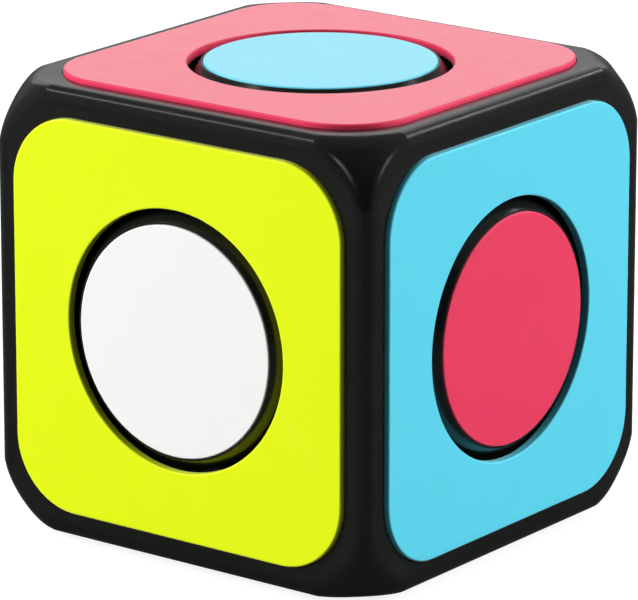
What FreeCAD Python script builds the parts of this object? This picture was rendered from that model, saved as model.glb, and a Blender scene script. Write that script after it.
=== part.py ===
import FreeCAD, Part
import math
import os

# A cube-shaped twisty puzzle: a black two-part shell with a coloured plate on each of its six sides,
# and in each plate's hole a disc that is sprung in and out and spins on its own ball bearing.
# Everything for one side is drawn along +Z, with z measured out from the cube's centre, and is then
# turned to its side. "out" in a name is such a distance from the centre. All sizes are in millimetres.

# Shell
shell_out = 27.45           # centre to the shell's flat faces
shell_edge_round = 1.7      # rounding of every outer edge
corner_cut = 6.8            # how much of each edge a corner's flat takes
corner_flat = 0.2           # what the rounding leaves of that flat, from its middle to its edges
hole_step = 0.13            # how much wider the shell's round holes are than the plates'
sweep_gap = 0.5             # between a pressed disc and the shell's spherical inside

# Dowels that line up and hold the two halves of the shell
dowel_radius = 1.5
dowel_length = 9.0
dowel_wall = 2.6            # between a dowel and the shell's inside

# Side plates
plate_proud = 0.55          # how far a plate stands out of the shell
plate_thickness = 1.0
plate_border = 3.37         # black border from a plate's edge to the shell's edge
plate_corner_radius = 8.7
plate_hole_radius = 15.77
plate_edge_round = 0.25
plate_hole_round = 0.2
peg_radius = 1.2
peg_length = 2.4
peg_inset = 5.08            # from the plate's two edges at a corner to the peg's middle

# Disc tiles
tile_proud = 0.15           # how far a tile stands out of the plate round it
tile_thickness = 1.2
tile_edge_round = 0.2

# Disc caps
tile_rise = 0.12            # how far a tile stands out of its cap's rim
cap_lip = 0.2               # width of the cap's rim round the tile
cap_bevel_width = 1.2
cap_bevel_drop = 1.6        # from the rim to the foot of the bevel
cap_skirt_drop = 2.0        # from the foot of the bevel to the cap's lower edge
cap_wall = 1.6
cap_floor = 1.25
hub_wall = 1.6
bearing_shoulder_width = 0.75
bearing_headroom = 0.7      # from the bearing to the underside of the cap's floor

# Ball bearings, 8 x 16 x 4
bearing_bore_radius = 4.0
bearing_radius = 8.0
bearing_width = 4.0
ring_wall = 1.25
groove_depth = 0.25         # how far a ball sits in each ring
ball_count = 9
cage_thickness = 0.6
cage_rim = 0.16             # what is left of the cage above and below each ball

# Plungers
stroke = 4.0                # how far a disc can be pressed in
flange_reach = 1.5          # how far the flange under the bearing stands out of its seat
flange_thickness = 1.2
bead_reach = 0.25           # how far the snap bead that keeps the bearing on stands out
bead_height = 0.35
skirt_radius = 4.4
skirt_wall = 0.7
screw_seat_thickness = 2.2  # web between the screw's head and the spring

# Shoulder screws
screw_head_radius = 2.6
screw_head_height = 1.3
screw_shoulder_radius = 1.5
screw_thread_radius = 1.15
screw_thread_length = 4.6
screw_drive_width = 2.0     # across the flats of the hexagon socket
screw_drive_depth = 0.8

# Springs
spring_wire_radius = 0.3
spring_mean_radius = 2.75
spring_turns = 7

# Core
core_ball_radius = 9.5
socket_floor = 7.1          # centre to the floor of each arm's socket
arm_wall = 1.75

# Clearances
disc_gap = 0.42             # between a disc and the plate's hole
plate_gap = 0.1             # between a plate's edge and its recess
peg_gap = 0.05
tile_gap = 0.05
press_gap = 0.02            # rings, dowels and threads, which are tight in the real object
slide_gap = 0.05            # plunger skirt in its socket
ball_gap = 0.04
spring_gap = 0.04           # at each end of a spring
end_gap = 0.4               # left at the end of a moving piece's travel
head_gap = 0.3              # round the screw's head
bore_gap = 0.1              # round the screw's shoulder
overshoot = 1.0             # how far a cut runs on past what it cuts

# Places that follow from the sizes above
corner_turn = math.acos(1 / math.sqrt(3))       # between a corner's flat and a face
corner_round = (corner_cut / math.sqrt(6) - corner_flat) / math.tan(corner_turn / 2)
plate_top = shell_out + plate_proud
plate_seat = plate_top - plate_thickness
plate_half_width = shell_out - plate_border
peg_place = plate_half_width - peg_inset
disc_hole_radius = plate_hole_radius + hole_step
cap_radius = plate_hole_radius - disc_gap
rim_radius = cap_radius - cap_bevel_width
recess_radius = rim_radius - cap_lip
tile_radius = recess_radius - tile_gap
tile_top = plate_top + tile_proud
tile_seat = tile_top - tile_thickness
cap_rim = tile_top - tile_rise
bevel_foot = cap_rim - cap_bevel_drop
cap_bottom = bevel_foot - cap_skirt_drop
floor_under = tile_seat - cap_floor
disc_sweep = max(math.hypot(tile_top - stroke, tile_radius), math.hypot(cap_rim - stroke, rim_radius))
cavity_radius = disc_sweep + sweep_gap
dowel_place = (cavity_radius + dowel_wall + dowel_radius) / math.sqrt(2)
bearing_top = floor_under - bearing_headroom
bearing_foot = bearing_top - bearing_width
bearing_middle = (bearing_foot + bearing_top) / 2
ball_circle = (bearing_bore_radius + bearing_radius) / 2
ball_radius = (bearing_radius - bearing_bore_radius) / 2 - ring_wall + groove_depth
hub_radius = bearing_radius + press_gap + hub_wall
flange_foot = bearing_foot - flange_thickness
skirt_foot = socket_floor + end_gap + stroke
screw_head_top = floor_under - stroke - end_gap
screw_seat = screw_head_top - screw_head_height
spring_top = screw_seat - screw_seat_thickness
arm_end = flange_foot - stroke - end_gap
socket_radius = skirt_radius + slide_gap
arm_radius = socket_radius + arm_wall
rest_height = tile_top      # the cube stands on its bottom disc

SIDES = {
    "top": (0, 0, 1),
    "bottom": (0, 0, -1),
    "front": (0, -1, 0),
    "back": (0, 1, 0),
    "right": (1, 0, 0),
    "left": (-1, 0, 0),
}
AXIS = FreeCAD.Vector(0, 0, 1)
TINY = 1e-3                 # nearer than this counts as the same place


def cylinder(radius, low, high, x=0.0, y=0.0):
    """A round bar along Z between two heights."""
    return Part.makeCylinder(radius, high - low, FreeCAD.Vector(x, y, low), AXIS)


def ring(outer, inner, low, high):
    """A round tube along Z between two heights."""
    return cylinder(outer, low, high).cut(cylinder(inner, low, high))


def revolved(outline):
    """A solid turned about Z from its outline, given as (radius, height) corners in order."""
    points = [FreeCAD.Vector(radius, 0, height) for radius, height in outline]
    wire = Part.makePolygon(points + points[:1])
    return Part.Face(wire).revolve(FreeCAD.Vector(0, 0, 0), AXIS, 360)


def rounded_square(half, corner, low, high):
    """A square block with round vertical corners."""
    block = Part.makeBox(2 * half, 2 * half, high - low, FreeCAD.Vector(-half, -half, low))
    upright = [e for e in block.Edges if abs(e.Vertexes[0].Z - e.Vertexes[1].Z) > TINY]
    return block.makeFillet(corner, upright)


def edges_at(shape, height):
    """The edges of a shape that lie flat at one height."""
    return [
        e for e in shape.Edges if max(abs(e.BoundBox.ZMin - height), abs(e.BoundBox.ZMax - height)) < TINY
    ]


def runs_along_axis(edge):
    """Whether an edge runs straight along X, Y or Z."""
    box = edge.BoundBox
    return sorted((box.XLength, box.YLength, box.ZLength))[1] < TINY


def four_places(place):
    """The four points (x, y) with both coordinates at plus or minus one distance."""
    return [(place * sx, place * sy) for sx in (-1, 1) for sy in (-1, 1)]


def turned_to(shape, direction):
    """A copy of a shape drawn along +Z, turned to face along another axis, in the finished place."""
    turn = FreeCAD.Rotation(AXIS, FreeCAD.Vector(*direction))
    placed = shape.copy()
    placed.Placement = FreeCAD.Placement(FreeCAD.Vector(0, 0, rest_height), turn) * shape.Placement
    return placed


def cut_corner_cube(half, cut):
    """A cube with a triangle flat on each corner, made from its six octagons and eight triangles."""
    short = half - cut
    faces = []
    for axis in range(3):
        first, second = (axis + 1) % 3, (axis + 2) % 3
        outline = [(half, short), (short, half), (-short, half), (-half, short)]
        outline += [(-u, -v) for u, v in outline]
        for side in (-half, half):
            points = []
            for u, v in outline:
                point = [0.0, 0.0, 0.0]
                point[axis], point[first], point[second] = side, u, v
                points.append(FreeCAD.Vector(*point))
            faces.append(Part.Face(Part.makePolygon(points + points[:1])))
    for sx in (-1, 1):
        for sy in (-1, 1):
            for sz in (-1, 1):
                points = [
                    FreeCAD.Vector(short * sx, half * sy, half * sz),
                    FreeCAD.Vector(half * sx, short * sy, half * sz),
                    FreeCAD.Vector(half * sx, half * sy, short * sz),
                ]
                faces.append(Part.Face(Part.makePolygon(points + points[:1])))
    return Part.Solid(Part.Shell(faces))


def side_opening():
    """What one side takes out of the shell: the disc's hole, the plate's recess and its peg holes."""
    outside = shell_out + overshoot
    opening = cylinder(disc_hole_radius, shell_out / 2, outside)
    recess = rounded_square(
        plate_half_width + plate_gap, plate_corner_radius + plate_gap, plate_seat, outside
    )
    opening = opening.fuse(recess)
    for x, y in four_places(peg_place):
        low = plate_seat - peg_length - peg_gap
        opening = opening.fuse(cylinder(peg_radius + peg_gap, low, plate_seat + plate_gap, x, y))
    return opening


def shell_halves():
    """The black shell, parted at mid-height. Both halves have blind holes for the dowels."""
    block = cut_corner_cube(shell_out, corner_cut)
    block = block.makeFillet(corner_round, [e for e in block.Edges if not runs_along_axis(e)])
    block = block.makeFillet(shell_edge_round, [e for e in block.Edges if runs_along_axis(e)])
    block = block.cut(Part.makeSphere(cavity_radius))
    opening = side_opening()
    for direction in SIDES.values():
        turned = opening.copy()
        turned.Placement = FreeCAD.Placement(
            FreeCAD.Vector(0, 0, 0), FreeCAD.Rotation(AXIS, FreeCAD.Vector(*direction))
        )
        block = block.cut(turned)
    reach = dowel_length / 2 + press_gap
    for x, y in four_places(dowel_place):
        block = block.cut(cylinder(dowel_radius + press_gap, -reach, reach, x, y))
    size = 2 * (shell_out + overshoot)
    corner = FreeCAD.Vector(-size / 2, -size / 2, 0)
    upper_space = Part.makeBox(size, size, size, corner)
    return block.common(upper_space), block.cut(upper_space)


def dowels():
    """Four plain pins across the parting plane, one near each upright edge."""
    half = dowel_length / 2
    return Part.makeCompound([cylinder(dowel_radius, -half, half, x, y) for x, y in four_places(dowel_place)])


def plate():
    """A side plate with its round hole, soft outer edge and four pegs behind."""
    body = rounded_square(plate_half_width, plate_corner_radius, plate_seat, plate_top)
    body = body.makeFillet(plate_edge_round, edges_at(body, plate_top))
    body = body.cut(cylinder(plate_hole_radius, plate_seat - overshoot, plate_top + overshoot))
    rim = [e for e in edges_at(body, plate_top) if e.BoundBox.XMax < plate_hole_radius + TINY]
    body = body.makeFillet(plate_hole_round, rim)
    for x, y in four_places(peg_place):
        body = body.fuse(cylinder(peg_radius, plate_seat - peg_length, plate_seat, x, y))
    return body.removeSplitter()


def tile():
    """The coloured face of a disc."""
    body = cylinder(tile_radius, tile_seat, tile_top)
    return body.makeFillet(tile_edge_round, edges_at(body, tile_top))


def cap():
    """The disc's black carrier: a recess for the tile, a bevelled rim, and a hub over the bearing."""
    hub_bore = bearing_radius + press_gap
    shoulder_radius = bearing_radius - bearing_shoulder_width
    skirt_inside = cap_radius - cap_wall
    return revolved([
        (0, tile_seat),
        (recess_radius, tile_seat),
        (recess_radius, cap_rim),
        (rim_radius, cap_rim),
        (cap_radius, bevel_foot),
        (cap_radius, cap_bottom),
        (skirt_inside, cap_bottom),
        (skirt_inside, floor_under),
        (hub_radius, floor_under),
        (hub_radius, bearing_foot),
        (hub_bore, bearing_foot),
        (hub_bore, bearing_top),
        (shoulder_radius, bearing_top),
        (shoulder_radius, floor_under),
        (0, floor_under),
    ])


def ball_groove():
    """The round track that both rings of a bearing are ground to."""
    return Part.makeTorus(ball_circle, ball_radius + ball_gap, AXIS * bearing_middle, AXIS)


def outer_ring():
    """The bearing's outer ring, held in the cap's hub."""
    return ring(bearing_radius, bearing_radius - ring_wall, bearing_foot, bearing_top).cut(ball_groove())


def inner_ring():
    """The bearing's inner ring, held on the plunger."""
    outer = bearing_bore_radius + ring_wall
    return ring(outer, bearing_bore_radius, bearing_foot, bearing_top).cut(ball_groove())


def ball_set():
    """The bearing's balls and the cage that spaces them, as separate solids."""
    pocket_radius = ball_radius + ball_gap
    reach = pocket_radius + cage_rim
    cage = ring(
        ball_circle + cage_thickness / 2,
        ball_circle - cage_thickness / 2,
        bearing_middle - reach,
        bearing_middle + reach,
    )
    balls = []
    for step in range(ball_count):
        angle = 2 * math.pi * (step + 0.5) / ball_count
        outward = FreeCAD.Vector(math.cos(angle), math.sin(angle), 0)
        balls.append(Part.makeSphere(ball_radius, AXIS * bearing_middle + outward * ball_circle))
        cage = cage.cut(Part.makeCylinder(pocket_radius, 2 * ball_circle, AXIS * bearing_middle, outward))
    return Part.makeCompound(balls + [cage])


def plunger():
    """The post that carries the bearing, slides in the core's socket and holds the spring."""
    seat_radius = bearing_bore_radius - press_gap
    head_bore = screw_head_radius + head_gap
    shoulder_bore = screw_shoulder_radius + bore_gap
    spring_bore = skirt_radius - skirt_wall
    bead_radius = bearing_bore_radius + bead_reach
    bead_top = bearing_top + bead_height
    flange_radius = bearing_bore_radius + flange_reach
    return revolved([
        (head_bore, bead_top),
        (seat_radius, bead_top),
        (bead_radius, bearing_top + bead_height / 2),
        (bead_radius, bearing_top),
        (seat_radius, bearing_top),
        (seat_radius, bearing_foot),
        (flange_radius, bearing_foot),
        (flange_radius, flange_foot),
        (skirt_radius, flange_foot),
        (skirt_radius, skirt_foot),
        (spring_bore, skirt_foot),
        (spring_bore, spring_top),
        (shoulder_bore, spring_top),
        (shoulder_bore, screw_seat),
        (head_bore, screw_seat),
    ])


def shoulder_screw():
    """The screw that stops the plunger: head, plain shoulder down to the core, and thread."""
    tip = socket_floor - screw_thread_length
    body = revolved([
        (0, screw_head_top),
        (screw_head_radius, screw_head_top),
        (screw_head_radius, screw_seat),
        (screw_shoulder_radius, screw_seat),
        (screw_shoulder_radius, socket_floor),
        (screw_thread_radius, socket_floor),
        (screw_thread_radius, tip + screw_thread_radius / 2),
        (screw_thread_radius / 2, tip),
        (0, tip),
    ])
    corner = screw_drive_width / math.sqrt(3)
    low = screw_head_top - screw_drive_depth
    hexagon = []
    for step in range(7):
        angle = math.pi * step / 3
        hexagon.append(FreeCAD.Vector(corner * math.cos(angle), corner * math.sin(angle), low))
    drive = Part.Face(Part.makePolygon(hexagon)).extrude(FreeCAD.Vector(0, 0, 2 * screw_drive_depth))
    return body.cut(drive)


def spring():
    """The coil spring between the socket's floor and the plunger's web, at its length at rest."""
    low = socket_floor + spring_wire_radius + spring_gap
    height = spring_top - spring_wire_radius - spring_gap - low
    helix = Part.makeHelix(height / spring_turns, height, spring_mean_radius)
    start = FreeCAD.Vector(spring_mean_radius, 0, 0)
    section = Part.Wire(Part.makeCircle(spring_wire_radius, start, FreeCAD.Vector(0, 1, 0)))
    coil = Part.Wire(helix).makePipeShell([section], True, True)
    coil.translate(FreeCAD.Vector(0, 0, low))
    return coil


def core():
    """The six-armed core, with a socket and a threaded hole in each arm."""
    body = Part.makeSphere(core_ball_radius)
    arm = cylinder(arm_radius, 0, arm_end)
    hollow = cylinder(socket_radius, socket_floor, arm_end + overshoot)
    thread_floor = socket_floor - screw_thread_length - press_gap
    hollow = hollow.fuse(cylinder(screw_thread_radius + press_gap, thread_floor, socket_floor + overshoot))
    turns = [FreeCAD.Rotation(AXIS, FreeCAD.Vector(*direction)) for direction in SIDES.values()]
    for turn in turns:
        piece = arm.copy()
        piece.Placement = FreeCAD.Placement(FreeCAD.Vector(0, 0, 0), turn)
        body = body.fuse(piece)
    for turn in turns:
        piece = hollow.copy()
        piece.Placement = FreeCAD.Placement(FreeCAD.Vector(0, 0, 0), turn)
        body = body.cut(piece)
    return body.removeSplitter()


def export(name, shape):
    """Write one piece to its own file."""
    shape.exportStep(os.path.join("parts", name + ".step"))


def main():
    os.makedirs("parts", exist_ok=True)
    upper, lower = shell_halves()
    export("shell_upper", turned_to(upper, (0, 0, 1)))
    export("shell_lower", turned_to(lower, (0, 0, 1)))
    export("shell_dowels", turned_to(dowels(), (0, 0, 1)))
    export("core", turned_to(core(), (0, 0, 1)))
    side_pieces = {
        "plate": plate(),
        "disc_tile": tile(),
        "disc_cap": cap(),
        "bearing_outer_ring": outer_ring(),
        "bearing_inner_ring": inner_ring(),
        "bearing_ball_set": ball_set(),
        "plunger": plunger(),
        "spring": spring(),
        "shoulder_screw": shoulder_screw(),
    }
    for side, direction in SIDES.items():
        for piece, shape in side_pieces.items():
            export(side + "_" + piece, turned_to(shape, direction))


main()
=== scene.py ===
import math

import bpy
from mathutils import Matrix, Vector


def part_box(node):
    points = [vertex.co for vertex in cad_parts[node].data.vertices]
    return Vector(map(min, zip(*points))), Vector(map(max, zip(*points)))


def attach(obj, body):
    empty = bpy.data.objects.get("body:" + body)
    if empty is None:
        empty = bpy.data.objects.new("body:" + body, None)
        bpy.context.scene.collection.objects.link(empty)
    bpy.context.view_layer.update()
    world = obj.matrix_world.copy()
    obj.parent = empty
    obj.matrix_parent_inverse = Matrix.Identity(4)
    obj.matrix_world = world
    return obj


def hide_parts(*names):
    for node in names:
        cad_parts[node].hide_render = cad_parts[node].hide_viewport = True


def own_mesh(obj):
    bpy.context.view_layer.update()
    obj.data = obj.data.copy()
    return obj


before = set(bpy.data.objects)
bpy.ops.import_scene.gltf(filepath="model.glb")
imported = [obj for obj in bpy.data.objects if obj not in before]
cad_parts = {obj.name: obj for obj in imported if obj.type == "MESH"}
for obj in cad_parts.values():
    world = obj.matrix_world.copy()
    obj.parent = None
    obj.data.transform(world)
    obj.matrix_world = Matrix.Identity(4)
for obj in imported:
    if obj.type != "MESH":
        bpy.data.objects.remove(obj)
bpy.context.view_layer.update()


# Studio. A pale table in a pale room, lit as in a light tent, where only the lamps and a dim grey
# all round, darkest behind the camera, reach the puzzle. The camera is a long lens, raised by about
# sixteen degrees, that looks a little below the cube's middle.
MM = 0.001
middle = Vector((0, 0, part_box("shell_upper")[0].z))
view_azimuth = math.radians(37.2)
view_elevation = math.radians(16.27)
view_distance = 648.6 * MM
view_lens = 306.5
aim_right = -0.197 * MM
aim_up = -1.36 * MM
flat_ahead = Vector((-math.sin(view_azimuth), math.cos(view_azimuth), 0))
right = Vector((math.cos(view_azimuth), math.sin(view_azimuth), 0))
back = -flat_ahead * math.cos(view_elevation) + Vector((0, 0, math.sin(view_elevation)))
up = flat_ahead * math.sin(view_elevation) + Vector((0, 0, math.cos(view_elevation)))

bpy.ops.object.select_all(action="DESELECT")
bpy.ops.object.camera_add(
    location=middle + back * view_distance + right * aim_right + up * aim_up,
    rotation=(math.pi / 2 - view_elevation, 0, view_azimuth),
)
camera = bpy.context.object
camera.name = "camera"
camera.data.lens = view_lens
camera.data.sensor_width = 36
camera.data.clip_start = 0.01
camera.data.clip_end = 20
bpy.context.scene.camera = camera
bpy.context.scene.view_settings.view_transform = "Standard"


def mix(tree, share, first, second):
    """Mixes two shaders of a node tree by a share."""
    mixed = tree.nodes.new("ShaderNodeMixShader")
    tree.links.new(share, mixed.inputs["Fac"])
    tree.links.new(first, mixed.inputs[1])
    tree.links.new(second, mixed.inputs[2])
    return mixed.outputs["Shader"]


def camera_sees(tree, other, seen):
    """Shows one shader to the camera, and the other to every other ray."""
    camera_ray = tree.nodes.new("ShaderNodeLightPath").outputs["Is Camera Ray"]
    return mix(tree, camera_ray, other, seen)


# The table glows for the camera only, so that it doesn't light the puzzle from below, and it is
# clear when seen from underneath.
table_size = 12
table_glow = 0.84
bpy.ops.mesh.primitive_plane_add(size=table_size, location=(0, 0, 0))
table = bpy.context.object
table.name = "table"
table_paint = bpy.data.materials.new("pale_table")
table_paint.use_nodes = True
table_tree = table_paint.node_tree
table_top = table_tree.nodes["Principled BSDF"]
table_top.inputs["Base Color"].default_value = (0.3, 0.3, 0.3, 1)
table_top.inputs["Roughness"].default_value = 0.9
table_top.inputs["Specular IOR Level"].default_value = 0.0
table_top.inputs["Emission Color"].default_value = (1, 1, 1, 1)
table_top.inputs["Emission Strength"].default_value = table_glow
table_unlit = table_tree.nodes.new("ShaderNodeBsdfDiffuse")
table_unlit.inputs["Color"].default_value = (0.12, 0.12, 0.12, 1)
table_shader = mix(
    table_tree,
    table_tree.nodes.new("ShaderNodeNewGeometry").outputs["Backfacing"],
    camera_sees(table_tree, table_unlit.outputs["BSDF"], table_top.outputs["BSDF"]),
    table_tree.nodes.new("ShaderNodeBsdfTransparent").outputs["BSDF"],
)
table_tree.links.new(table_shader, table_tree.nodes["Material Output"].inputs["Surface"])
table.data.materials.append(table_paint)

lamp_distance = 1.4


def soft_lamp(name, azimuth, elevation, width, height, power):
    """An area lamp that points at the cube's middle. Azimuth 0 is in front and 90 at the right."""
    turn, tilt = math.radians(azimuth), math.radians(elevation)
    outward = Vector(
        (math.sin(turn) * math.cos(tilt), -math.cos(turn) * math.cos(tilt), math.sin(tilt))
    )
    bpy.ops.object.light_add(type="AREA", location=middle + outward * lamp_distance)
    lamp = bpy.context.object
    lamp.name = name
    lamp.rotation_euler = outward.to_track_quat("Z", "Y").to_euler()
    lamp.data.shape = "RECTANGLE"
    lamp.data.size = width
    lamp.data.size_y = height
    lamp.data.energy = power
    return lamp


# Three large lamps light the puzzle without showing in its gloss. A wide one behind lays a sheen on
# the top, two narrow ones draw the fine bright lines along the upper edges, and two small ones make
# the glints at the near corner. Each has its azimuth, elevation, width, height and power.
for lamp in (
    soft_lamp("lamp_left", -50, 13, 1.1, 1.1, 39),
    soft_lamp("lamp_right", 132, 13, 1.1, 1.1, 36),
    soft_lamp("lamp_overhead", -120, 72, 1.1, 1.1, 1.6),
):
    lamp.visible_glossy = False
soft_lamp("lamp_behind", 217, 28, 1.5, 0.7, 2.4)
soft_lamp("line_left", -60, 47, 0.95, 0.05, 1.1)
soft_lamp("line_right", 160, 36, 0.7, 0.05, 0.8)
soft_lamp("glint_left", 6, 29, 0.2, 0.2, 0.6)
soft_lamp("glint_right", 100, 25, 0.2, 0.2, 0.4)

# The room's light fades from a dim grey to almost nothing towards the camera. The camera itself
# sees a pale wall beyond the table's edge.
fade_from, fade_to = 0.5, 0.85
grey_far, grey_near = 0.2, 0.03
room = bpy.data.worlds.new("studio")
bpy.context.scene.world = room
room.use_nodes = True
room_tree = room.node_tree
room_light = room_tree.nodes["Background"]
room_light.inputs["Color"].default_value = (1, 1, 1, 1)
toward_camera = room_tree.nodes.new("ShaderNodeVectorMath")
toward_camera.operation = "DOT_PRODUCT"
toward_camera.inputs[1].default_value = back
room_tree.links.new(
    room_tree.nodes.new("ShaderNodeTexCoord").outputs["Generated"], toward_camera.inputs[0]
)
room_fade = room_tree.nodes.new("ShaderNodeMapRange")
room_fade.inputs["From Min"].default_value = fade_from
room_fade.inputs["From Max"].default_value = fade_to
room_fade.inputs["To Min"].default_value = grey_far
room_fade.inputs["To Max"].default_value = grey_near
room_tree.links.new(toward_camera.outputs["Value"], room_fade.inputs["Value"])
room_tree.links.new(room_fade.outputs["Result"], room_light.inputs["Strength"])
room_wall = room_tree.nodes.new("ShaderNodeBackground")
room_wall.inputs["Color"].default_value = (0.84, 0.84, 0.84, 1)
room_shader = camera_sees(
    room_tree, room_light.outputs["Background"], room_wall.outputs["Background"]
)
room_tree.links.new(room_shader, room_tree.nodes["World Output"].inputs["Surface"])


# Shell. Two glossy black ABS mouldings that meet at mid-height, on four dowels. Each is a rounded
# half cube with a round hole and a shallow square seat in every side, hollowed out to a sphere for
# the mechanism. One corner is shaped and then mirrored.
shell_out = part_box("shell_upper")[1].x
shell_edge_round = 1.7 * MM
shell_corner_arc = 8.0 * MM         # how round a flat side's corner looks from in front
shell_corner_round = 3.0 * MM       # rounding from side to side in the middle of a corner
cavity_radius = 28.39 * MM
disc_hole_radius = 15.9 * MM
plate_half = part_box("top_plate")[1].x
plate_corner = 8.7 * MM
plate_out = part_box("top_plate")[1].z - middle.z
plate_thickness = 1.0 * MM
seat_out = plate_out - plate_thickness
seat_gap = 0.1 * MM
seat_lip = 0.12 * MM
parting_lip = 0.07 * MM
peg_radius = 1.2 * MM
peg_length = 2.4 * MM
peg_place = 19.0 * MM
peg_gap = 0.05 * MM
dowel_place = 22.97 * MM
dowel_hole = 1.52 * MM
dowel_depth = 4.52 * MM
cut_from = 10 * MM                  # a cutter starts inside the cavity
cut_to = 40 * MM                    # and ends well outside the shell
sharp_angle = math.radians(30)      # an edge sharper than this stays sharp
flat_angle = math.radians(0.3)      # faces that meet at less than this are one flat face
NEAR = 0.02 * MM                    # a point this close to a plane lies on it
CORNER_STEPS = 16
HOLE_STEPS = 128
PEG_STEPS = 24

SIDES = {
    "top": Vector((0, 0, 1)),
    "bottom": Vector((0, 0, -1)),
    "front": Vector((0, -1, 0)),
    "back": Vector((0, 1, 0)),
    "right": Vector((1, 0, 0)),
    "left": Vector((-1, 0, 0)),
}


def pick(obj):
    """Makes a piece the active one and the only one selected."""
    bpy.ops.object.select_all(action="DESELECT")
    obj.select_set(True)
    bpy.context.view_layer.objects.active = obj


def settle(obj):
    """Moves a piece's place and turn into its mesh."""
    pick(obj)
    bpy.ops.object.transform_apply(location=True, rotation=True, scale=True)
    return obj


def edit(obj, kind="EDGE"):
    """Opens a piece in edit mode with nothing selected."""
    pick(obj)
    bpy.ops.object.mode_set(mode="EDIT")
    bpy.ops.mesh.select_mode(type=kind)
    bpy.ops.mesh.select_all(action="DESELECT")


def close():
    """Leaves edit mode."""
    bpy.ops.object.mode_set(mode="OBJECT")


def select(obj, kind, wanted):
    """Selects the edges or faces of an open mesh whose every corner passes a test of its place."""
    bpy.ops.mesh.select_mode(type=kind)
    bpy.ops.mesh.select_all(action="DESELECT")
    close()
    passes = [wanted(corner.co) for corner in obj.data.vertices]
    for part in obj.data.edges if kind == "EDGE" else obj.data.polygons:
        part.select = all(passes[i] for i in part.vertices)
    bpy.ops.object.mode_set(mode="EDIT")


def face_outward():
    """Makes every face of the open mesh point out of it."""
    bpy.ops.mesh.select_all(action="SELECT")
    bpy.ops.mesh.normals_make_consistent(inside=False)


def join(pieces):
    """Joins pieces into the first of them."""
    pick(pieces[0])
    for piece in pieces:
        piece.select_set(True)
    bpy.ops.object.join()
    return pieces[0]


def apply_modifiers(obj):
    """Applies every modifier of a piece in order."""
    pick(obj)
    for modifier in list(obj.modifiers):
        bpy.ops.object.modifier_apply(modifier=modifier.name)


def cut(obj, cutter):
    """Takes one closed mesh out of another and throws the cutter away."""
    difference = obj.modifiers.new("cut", "BOOLEAN")
    difference.operation = "DIFFERENCE"
    difference.solver = "EXACT"
    difference.object = cutter
    apply_modifiers(obj)
    bpy.data.objects.remove(cutter)


def shade(obj):
    """Smooth shading up to a sharp angle, with the large flat faces kept flat."""
    pick(obj)
    bpy.ops.object.shade_smooth_by_angle(angle=sharp_angle)
    weighted = obj.modifiers.new("weighted", "WEIGHTED_NORMAL")
    weighted.keep_sharp = True
    weighted.weight = 100
    apply_modifiers(obj)


def copy_piece(model, name):
    """A copy of a piece, with its own mesh."""
    piece = model.copy()
    piece.data = model.data.copy()
    piece.name = name
    bpy.context.scene.collection.objects.link(piece)
    return piece


def turn_outward(obj, side):
    """Turns a piece drawn on top of the cube to another side, in its mesh."""
    obj.rotation_mode = "QUATERNION"
    obj.rotation_quaternion = SIDES["top"].rotation_difference(SIDES[side])
    return settle(obj)


def lift_to_middle(obj):
    """Lifts a piece drawn round the origin to the cube's middle, in its mesh."""
    obj.location = middle
    return settle(obj)


def bar(radius, low, high, x=0.0, y=0.0, steps=HOLE_STEPS):
    """A closed round bar along Z."""
    bpy.ops.mesh.primitive_cylinder_add(
        vertices=steps, radius=radius, depth=high - low, location=(x, y, (low + high) / 2)
    )
    return settle(bpy.context.object)


def rounded_block(half, corner, low, high, steps):
    """A closed square block with round upright corners."""
    bpy.ops.mesh.primitive_plane_add(size=2 * half, location=(0, 0, low))
    block = settle(bpy.context.object)
    edit(block)
    bpy.ops.mesh.select_all(action="SELECT")
    bpy.ops.mesh.bevel(offset=corner, segments=steps, profile=0.5, affect="VERTICES")
    bpy.ops.mesh.select_all(action="SELECT")
    bpy.ops.mesh.extrude_region_move(TRANSFORM_OT_translate={"value": (0, 0, high - low)})
    face_outward()
    close()
    return block


# The corner block is the hull of balls: seven small ones at the points of a cube that reaches from
# the middle to the centres of the edge rounding, and one run of them round each face's corner,
# where they swell so that the corner comes out softer than the edges.
core_half = shell_out - shell_edge_round
corner_middle = shell_out - shell_corner_arc
places = [(x, y, z) for x in (0, core_half) for y in (0, core_half) for z in (0, core_half)]
places.remove((core_half, core_half, core_half))
ball_sizes = [(place, shell_edge_round) for place in places]
for axis in range(3):
    for step in range(CORNER_STEPS + 1):
        angle = math.pi / 2 * step / CORNER_STEPS
        swell = (shell_corner_round - shell_edge_round) * math.sin(2 * angle)
        radius = shell_edge_round + swell
        place = [shell_out - radius] * 3
        place[axis - 1] = corner_middle + (shell_corner_arc - radius) * math.cos(angle)
        place[axis - 2] = corner_middle + (shell_corner_arc - radius) * math.sin(angle)
        ball_sizes.append((place, radius))
balls = []
for place, radius in ball_sizes:
    bpy.ops.mesh.primitive_uv_sphere_add(segments=48, ring_count=24, radius=radius, location=place)
    balls.append(bpy.context.object)
shell_corner = settle(join(balls))
edit(shell_corner, "FACE")
bpy.ops.mesh.select_all(action="SELECT")
bpy.ops.mesh.convex_hull()
bpy.ops.mesh.select_all(action="SELECT")
bpy.ops.mesh.dissolve_limited(angle_limit=flat_angle)
for normal in ((1, 0, 0), (0, 1, 0), (0, 0, 1)):
    bpy.ops.mesh.select_all(action="SELECT")
    bpy.ops.mesh.bisect(
        plane_co=(0, 0, 0), plane_no=normal, use_fill=True, clear_inner=True, threshold=1e-7
    )
close()

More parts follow.
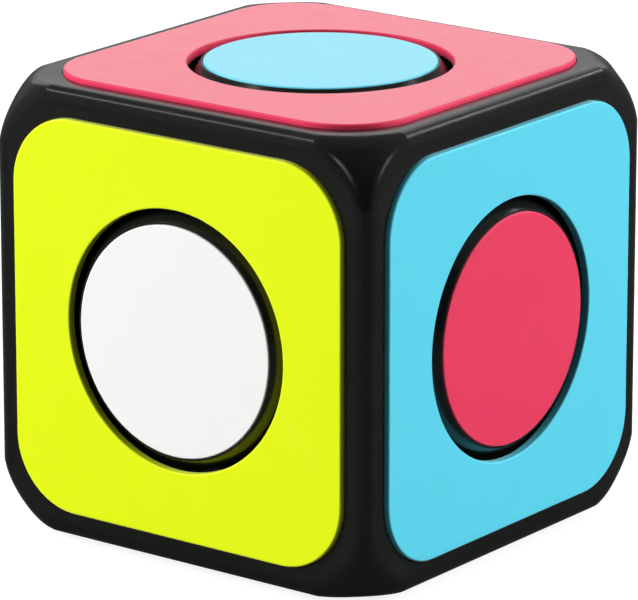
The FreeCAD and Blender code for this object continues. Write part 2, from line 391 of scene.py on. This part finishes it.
# The cavity, then a disc hole, a plate's seat and the peg hole that lies in this corner on each of
# its three sides, and a dowel hole across the parting line.
bpy.ops.mesh.primitive_uv_sphere_add(segments=128, ring_count=64, radius=cavity_radius)
cut(shell_corner, bpy.context.object)
peg_places = [(x, y) for x in (-peg_place, peg_place) for y in (-peg_place, peg_place)]
for side in ("top", "right", "back"):
    cut(shell_corner, turn_outward(bar(disc_hole_radius, cut_from, cut_to), side))
    seat = rounded_block(plate_half + seat_gap, plate_corner + seat_gap, seat_out, cut_to, 12)
    cut(shell_corner, turn_outward(seat, side))
    for x, y in peg_places:
        peg_foot = seat_out - peg_length - peg_gap
        peg_hole = turn_outward(bar(peg_radius + peg_gap, peg_foot, cut_to, x, y, PEG_STEPS), side)
        if min(peg_hole.bound_box[0]) > 0:
            cut(shell_corner, peg_hole)
        else:
            bpy.data.objects.remove(peg_hole)
dowel_bar = bar(dowel_hole, -dowel_depth, dowel_depth, dowel_place, dowel_place, PEG_STEPS)
cut(shell_corner, dowel_bar)

# A fine lip round each seat and along the parting line, then the two open ends of the corner block
# are cleared and it is mirrored into a half.
seat_edge = plate_half + 2 * seat_gap
edit(shell_corner)
for axis in range(3):
    across = [i for i in range(3) if i != axis]
    select(
        shell_corner,
        "EDGE",
        lambda p: abs(p[axis] - shell_out) < NEAR and max(p[i] for i in across) < seat_edge,
    )
    bpy.ops.mesh.bevel(offset=seat_lip, segments=2, profile=0.5)
select(
    shell_corner,
    "EDGE",
    lambda p: abs(p.z) < NEAR and max(p.x, p.y) > shell_out - NEAR and min(p.x, p.y) > NEAR,
)
bpy.ops.mesh.bevel(offset=parting_lip, segments=2, profile=0.5)
select(shell_corner, "FACE", lambda p: abs(p.x) < NEAR)
bpy.ops.mesh.delete(type="FACE")
select(shell_corner, "FACE", lambda p: abs(p.y) < NEAR)
bpy.ops.mesh.delete(type="FACE")
close()
mirror = shell_corner.modifiers.new("mirror", "MIRROR")
mirror.use_axis = (True, True, False)
mirror.merge_threshold = NEAR
apply_modifiers(shell_corner)
edit(shell_corner)
face_outward()
close()


def noise(tree, space, scale, detail):
    """A noise texture on the piece's own coordinates."""
    texture = tree.nodes.new("ShaderNodeTexNoise")
    texture.inputs["Scale"].default_value = scale
    texture.inputs["Detail"].default_value = detail
    tree.links.new(space, texture.inputs["Vector"])
    return texture.outputs["Fac"]


def spread(tree, value, span, to_span):
    """Maps one span of a value to another."""
    remap = tree.nodes.new("ShaderNodeMapRange")
    remap.inputs["From Min"].default_value = span[0]
    remap.inputs["From Max"].default_value = span[1]
    remap.inputs["To Min"].default_value = to_span[0]
    remap.inputs["To Max"].default_value = to_span[1]
    tree.links.new(value, remap.inputs["Value"])
    return remap.outputs["Result"]


def multiply(tree, value, factor, plus=None):
    """Multiplies two values, and adds a third to them where one is given."""
    product = tree.nodes.new("ShaderNodeMath")
    product.operation = "MULTIPLY" if plus is None else "MULTIPLY_ADD"
    tree.links.new(value, product.inputs[0])
    tree.links.new(factor, product.inputs[1])
    if plus is not None:
        tree.links.new(plus, product.inputs[2])
    return product.outputs["Value"]


def moulded_surface_group():
    """Surface of a moulded plastic: fine grain, slow waviness, and rubbed edges that go paler."""
    group = bpy.data.node_groups.new("moulded_surface", "ShaderNodeTree")
    sockets = group.interface
    for name in ("Color", "Worn Color"):
        sockets.new_socket(name=name, in_out="INPUT", socket_type="NodeSocketColor")
    for name in ("Roughness", "Roughness Swing", "Wear", "Grain"):
        sockets.new_socket(name=name, in_out="INPUT", socket_type="NodeSocketFloat")
    sockets.new_socket(name="Color", in_out="OUTPUT", socket_type="NodeSocketColor")
    for name in ("Roughness", "Height"):
        sockets.new_socket(name=name, in_out="OUTPUT", socket_type="NodeSocketFloat")
    inside = group.nodes.new("NodeGroupInput").outputs
    outside = group.nodes.new("NodeGroupOutput").inputs
    space = group.nodes.new("ShaderNodeTexCoord").outputs["Object"]
    grain = noise(group, space, scale=9000, detail=2)
    waves = noise(group, space, scale=90, detail=3)
    smudges = noise(group, space, scale=260, detail=5)
    # Rubbed edges: where the surface bulges, broken up by the smudges.
    pointiness = group.nodes.new("ShaderNodeNewGeometry").outputs["Pointiness"]
    bulge = spread(group, pointiness, (0.51, 0.56), (0, 1))
    rubbed = multiply(group, bulge, spread(group, smudges, (0.35, 0.7), (0.3, 1.0)))
    tint = group.nodes.new("ShaderNodeMix")
    tint.data_type = "RGBA"
    group.links.new(multiply(group, rubbed, inside["Wear"]), tint.inputs["Factor"])
    group.links.new(inside["Color"], tint.inputs["A"])
    group.links.new(inside["Worn Color"], tint.inputs["B"])
    group.links.new(tint.outputs["Result"], outside["Color"])
    # Roughness: the base value, swung up and down by the smudges.
    swing = spread(group, smudges, (0.3, 0.7), (-1, 1))
    roughness = multiply(group, swing, inside["Roughness Swing"], plus=inside["Roughness"])
    group.links.new(roughness, outside["Roughness"])
    # Height: fine grain over the slow waviness of the mould.
    group.links.new(multiply(group, grain, inside["Grain"], plus=waves), outside["Height"])
    return group


moulded_surface = moulded_surface_group()


def moulded_plastic(name, color, worn, roughness, swing, wear, grain, bump, sheen):
    """A plastic whose colour, gloss and grain come from the moulded surface."""
    material = bpy.data.materials.new(name)
    material.use_nodes = True
    tree = material.node_tree
    shader = tree.nodes["Principled BSDF"]
    surface = tree.nodes.new("ShaderNodeGroup")
    surface.node_tree = moulded_surface
    surface.inputs["Color"].default_value = (*color, 1)
    surface.inputs["Worn Color"].default_value = (*worn, 1)
    surface.inputs["Roughness"].default_value = roughness
    surface.inputs["Roughness Swing"].default_value = swing
    surface.inputs["Wear"].default_value = wear
    surface.inputs["Grain"].default_value = grain
    relief = tree.nodes.new("ShaderNodeBump")
    relief.inputs["Strength"].default_value = bump
    relief.inputs["Distance"].default_value = 0.02 * MM
    tree.links.new(surface.outputs["Color"], shader.inputs["Base Color"])
    tree.links.new(surface.outputs["Roughness"], shader.inputs["Roughness"])
    tree.links.new(surface.outputs["Height"], relief.inputs["Height"])
    tree.links.new(relief.outputs["Normal"], shader.inputs["Normal"])
    shader.inputs["IOR"].default_value = 1.5
    shader.inputs["Sheen Weight"].default_value = sheen
    shader.inputs["Sheen Roughness"].default_value = 0.3
    return material


black_plastic = moulded_plastic(
    "glossy_black_abs",
    color=(0.006, 0.0065, 0.006),
    worn=(0.016, 0.016, 0.015),
    roughness=0.2,
    swing=0.03,
    wear=0.4,
    grain=0.15,
    bump=0.15,
    sheen=0.0,
)


def dress(obj, material, body, node):
    """Gives a new piece its material and hangs it on the frame in place of its plain node."""
    obj.data.materials.clear()
    obj.data.materials.append(material)
    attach(obj, body)
    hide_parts(node)


shell_corner.name = "shell_half_upper"
shell_lower = copy_piece(shell_corner, "shell_half_lower")
shell_lower.scale = (1, 1, -1)
edit(settle(shell_lower))
face_outward()
close()
for name, half in (("upper", shell_corner), ("lower", shell_lower)):
    shade(half)
    lift_to_middle(half)
    dress(half, black_plastic, "shell", "shell_" + name)


# Side plates. Satin ABS, coloured all through, with a round hole, a soft outer edge and four pegs
# behind that push into the shell. They sit in the shell's seats and stand about half a millimetre
# proud. The colours follow the usual six: white against yellow, blue against green, red and orange.
plate_hole_radius = 15.77 * MM
plate_edge_round = 0.25 * MM
plate_hole_round = 0.2 * MM
peg_sink = 0.2 * MM

plate_model = rounded_block(plate_half, plate_corner, seat_out, plate_out, 20)
cut(plate_model, bar(plate_hole_radius, seat_out - MM, plate_out + MM, steps=192))
edit(plate_model)
select(
    plate_model,
    "EDGE",
    lambda p: abs(p.z - plate_out) < NEAR and p.xy.length > plate_hole_radius + MM,
)
bpy.ops.mesh.bevel(offset=plate_edge_round, segments=5, profile=0.5)
select(
    plate_model,
    "EDGE",
    lambda p: abs(p.z - plate_out) < NEAR and p.xy.length < plate_hole_radius + MM,
)
bpy.ops.mesh.bevel(offset=plate_hole_round, segments=4, profile=0.5)
close()
pegs = [
    bar(peg_radius, seat_out - peg_length, seat_out + peg_sink, x, y, PEG_STEPS)
    for x, y in peg_places
]
join([plate_model] + pegs)
shade(plate_model)

PLATE_COLORS = {
    "yellow": (0.80, 0.955, 0.003),
    "white": (0.90, 0.92, 0.90),
    "blue": (0.095, 0.64, 0.82),
    "green": (0.02, 0.55, 0.09),
    "pink": (0.78, 0.035, 0.105),
    "orange": (0.95, 0.24, 0.012),
}
satin = {}
for name, color in PLATE_COLORS.items():
    satin[name] = moulded_plastic(
        "satin_" + name + "_abs",
        color=color,
        worn=[min(1.0, channel * 0.9 + 0.1) for channel in color],
        roughness=0.38,
        swing=0.04,
        wear=0.15,
        grain=0.6,
        bump=0.12,
        sheen=0.45,
    )


def copy_to_side(model, name, side):
    """A copy of a model drawn on top, turned to a side and lifted to the cube's middle."""
    return lift_to_middle(turn_outward(copy_piece(model, name), side))


plate_of = {
    "front": "yellow",
    "back": "white",
    "right": "blue",
    "left": "green",
    "top": "pink",
    "bottom": "orange",
}
for side, color in plate_of.items():
    piece = copy_to_side(plate_model, "side_plate_" + side, side)
    dress(piece, satin[color], "shell", side + "_plate")
bpy.data.objects.remove(plate_model)


# Disc caps. Glossy black ABS carriers with a recess for the tile, a steep bevel round it that cams
# the disc in when the core turns, a skirt, and a hub behind that is pressed over the bearing.
cap_low, cap_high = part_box("top_disc_cap")
cap_radius = cap_high.x
cap_rim = cap_high.z - middle.z
cap_bevel_drop = 1.6 * MM
cap_skirt_drop = 2.0 * MM
cap_floor = 1.25 * MM
cap_wall = 1.6 * MM
cap_lip = 0.2 * MM
lip_round = 0.07 * MM
bevel_round = 0.35 * MM
bearing_width = 4.0 * MM
recess_radius = 13.95 * MM
hub_radius = 9.62 * MM
hub_bore = 8.02 * MM
shoulder_radius = 7.25 * MM
rim_radius = recess_radius + cap_lip
skirt_inside = cap_radius - cap_wall
bevel_foot = cap_rim - cap_bevel_drop
cap_bottom = bevel_foot - cap_skirt_drop
hub_foot = cap_low.z - middle.z
bearing_top = hub_foot + bearing_width
tile_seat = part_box("top_disc_tile")[0].z - middle.z
floor_under = tile_seat - cap_floor
ROUND_STEPS = 160


def draw_out(*profile):
    """Extrudes the selected round face along a profile of radii and heights, from its first one."""
    for (radius, height), (next_radius, next_height) in zip(profile, profile[1:]):
        rise = next_height - height
        ratio = next_radius / radius
        bpy.ops.mesh.extrude_region_move(TRANSFORM_OT_translate={"value": (0, 0, rise)})
        bpy.ops.transform.resize(
            value=(ratio, ratio, 1), center_override=(0, 0, 0), orient_type="GLOBAL"
        )


cap_model = bar(cap_radius, cap_bottom, bevel_foot, steps=ROUND_STEPS)
edit(cap_model)
select(cap_model, "FACE", lambda p: p.z > bevel_foot - NEAR)
draw_out(
    (cap_radius, bevel_foot),
    (rim_radius, cap_rim),
    (recess_radius, cap_rim),
    (recess_radius, tile_seat),
)
select(cap_model, "FACE", lambda p: p.z < cap_bottom + NEAR)
draw_out(
    (cap_radius, cap_bottom),
    (skirt_inside, cap_bottom),
    (skirt_inside, floor_under),
    (hub_radius, floor_under),
    (hub_radius, hub_foot),
    (hub_bore, hub_foot),
    (hub_bore, bearing_top),
    (shoulder_radius, bearing_top),
    (shoulder_radius, floor_under),
)
select(cap_model, "EDGE", lambda p: abs(p.z - cap_rim) < NEAR)
bpy.ops.mesh.bevel(offset=lip_round, segments=3, profile=0.5)
select(
    cap_model,
    "EDGE",
    lambda p: abs(p.z - bevel_foot) < NEAR and p.xy.length > cap_radius - NEAR,
)
bpy.ops.mesh.bevel(offset=bevel_round, segments=4, profile=0.5)
face_outward()
close()
shade(cap_model)
for side in SIDES:
    piece = copy_to_side(cap_model, "disc_carrier_" + side, side)
    dress(piece, black_plastic, side + "_disc_group", side + "_disc_cap")
bpy.data.objects.remove(cap_model)


# Disc tiles. Satin ABS rounds, coloured all through and glued into the caps' recesses, so that a
# thin black line of the rim shows round each and the tile's own side stands just above it.
tile_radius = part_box("top_disc_tile")[1].x
tile_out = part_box("top_disc_tile")[1].z - middle.z
tile_edge_round = 0.2 * MM

tile_model = bar(tile_radius, tile_seat, tile_out, steps=ROUND_STEPS)
edit(tile_model)
select(tile_model, "EDGE", lambda p: p.z > tile_out - NEAR)
bpy.ops.mesh.bevel(offset=tile_edge_round, segments=5, profile=0.5)
close()
shade(tile_model)
tile_of = {
    "front": "white",
    "back": "yellow",
    "right": "pink",
    "left": "orange",
    "top": "blue",
    "bottom": "green",
}
for side, color in tile_of.items():
    piece = copy_to_side(tile_model, "disc_face_" + side, side)
    dress(piece, satin[color], side + "_disc_group", side + "_disc_tile")
bpy.data.objects.remove(tile_model)


# Core, plungers, bearings, screws and dowels. The core and the plungers are natural moulded nylon,
# the bearings ground steel, and the screws and dowels zinc-plated steel. Each keeps its node's own
# shape: the plungers slide in the core's arms, on the screws, and carry the bearings.
def steel(name, color, roughness, grain_scale):
    """Steel with a fine uneven grain in its colour, gloss and surface."""
    material = bpy.data.materials.new(name)
    material.use_nodes = True
    tree = material.node_tree
    shader = tree.nodes["Principled BSDF"]
    shader.inputs["Metallic"].default_value = 1.0
    space = tree.nodes.new("ShaderNodeTexCoord").outputs["Object"]
    grain = noise(tree, space, scale=grain_scale, detail=4)
    gloss = spread(tree, grain, (0.3, 0.7), (roughness * 0.7, roughness * 1.4))
    tree.links.new(gloss, shader.inputs["Roughness"])
    tint = tree.nodes.new("ShaderNodeMix")
    tint.data_type = "RGBA"
    tint.inputs["A"].default_value = (*[channel * 0.8 for channel in color], 1)
    tint.inputs["B"].default_value = (*color, 1)
    tree.links.new(spread(tree, grain, (0.35, 0.65), (0, 1)), tint.inputs["Factor"])
    tree.links.new(tint.outputs["Result"], shader.inputs["Base Color"])
    relief = tree.nodes.new("ShaderNodeBump")
    relief.inputs["Strength"].default_value = 0.2
    relief.inputs["Distance"].default_value = 0.01 * MM
    tree.links.new(grain, relief.inputs["Height"])
    tree.links.new(relief.outputs["Normal"], shader.inputs["Normal"])
    return material


nylon = moulded_plastic(
    "natural_nylon",
    color=(0.62, 0.61, 0.56),
    worn=(0.72, 0.71, 0.67),
    roughness=0.5,
    swing=0.06,
    wear=0.3,
    grain=0.8,
    bump=0.25,
    sheen=0.1,
)
bearing_steel = steel("ground_bearing_steel", (0.62, 0.63, 0.64), 0.16, 2500)
plated_steel = steel("zinc_plated_steel", (0.58, 0.59, 0.58), 0.3, 1200)


def finish_node(name, material):
    """Puts a better material on a node that keeps its shape."""
    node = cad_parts[name]
    node.data.materials.clear()
    node.data.materials.append(material)


finish_node("core", nylon)
finish_node("shell_dowels", plated_steel)
for side in SIDES:
    finish_node(side + "_plunger", nylon)
    finish_node(side + "_shoulder_screw", plated_steel)
    for part in ("inner_ring", "outer_ring", "ball_set"):
        finish_node(side + "_bearing_" + part, bearing_steel)


# Springs. Coils of drawn steel wire that stand on the floors of the core's sockets and push the
# plungers and discs out. Each is a copy of its node's own coil.
same_point = 1e-6
spring_steel = steel("drawn_spring_wire", (0.46, 0.46, 0.45), 0.28, 3000)
for side in SIDES:
    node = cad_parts[side + "_spring"]
    coil = bpy.data.objects.new("coil_spring_" + side, node.data.copy())
    bpy.context.scene.collection.objects.link(coil)
    edit(coil)
    bpy.ops.mesh.select_all(action="SELECT")
    bpy.ops.mesh.remove_doubles(threshold=same_point)
    close()
    dress(coil, spring_steel, "shell", side + "_spring")
    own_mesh(coil)
